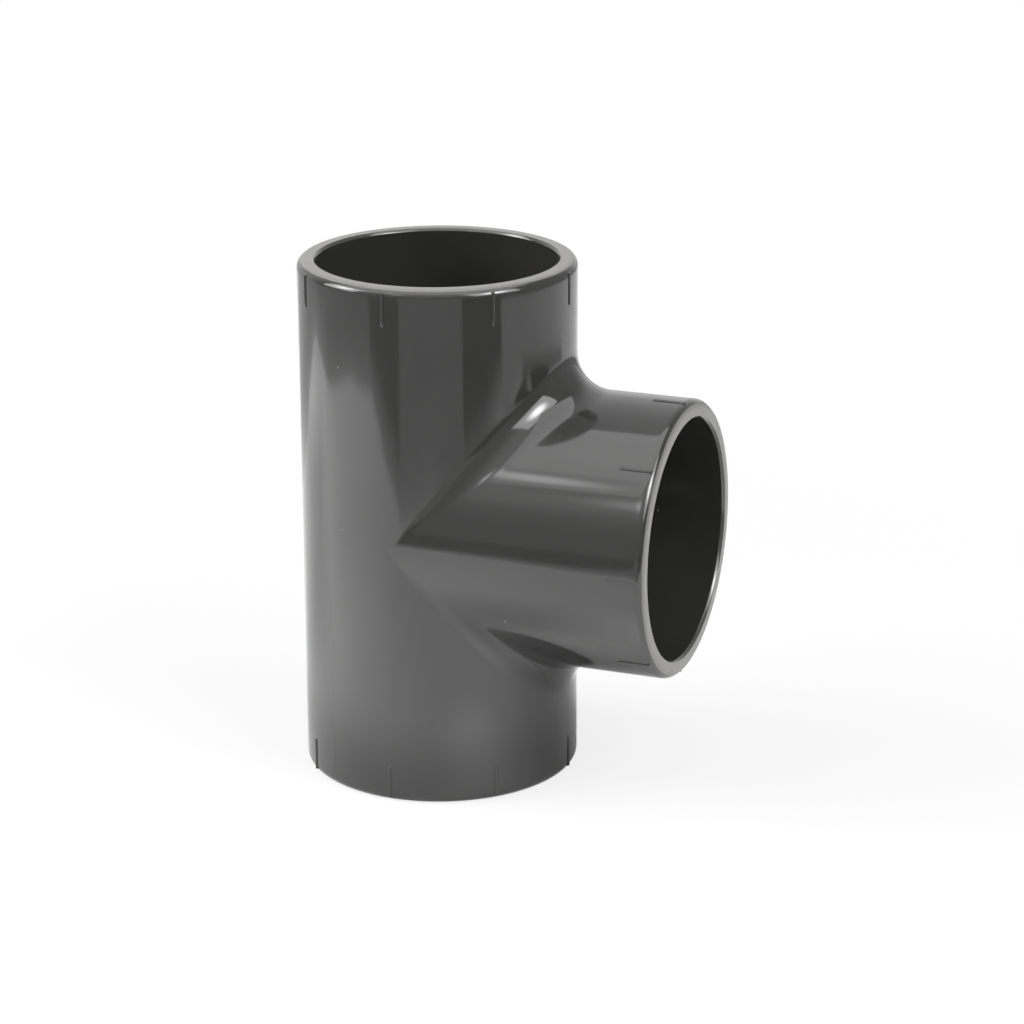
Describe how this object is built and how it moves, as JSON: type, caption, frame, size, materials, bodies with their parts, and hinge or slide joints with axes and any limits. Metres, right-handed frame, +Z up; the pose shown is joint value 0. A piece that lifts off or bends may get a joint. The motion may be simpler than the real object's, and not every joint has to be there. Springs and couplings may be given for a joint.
{
  "type": "equal pipe tee",
  "caption": "Moulded dark grey PVC-U equal 90 degree pipe tee with plain solvent-cement sockets and blended crotches.",
  "frame": {"origin": "centre of the lower mouth of the run, in the plane of its flat ring", "axes": "+Z up along the run axis, from the lower mouth to the upper one; +X out of the branch along its axis; the XZ plane is the mirror plane and the plane of the mould's parting line"},
  "size_m": [0.1517, 0.1054, 0.198],
  "materials": {
    "pvc": "dark grey moulded PVC-U, satin to semi-gloss"
  },
  "bodies": {
    "root": {"tee_body": "pvc"}
  },
  "joints": []
}
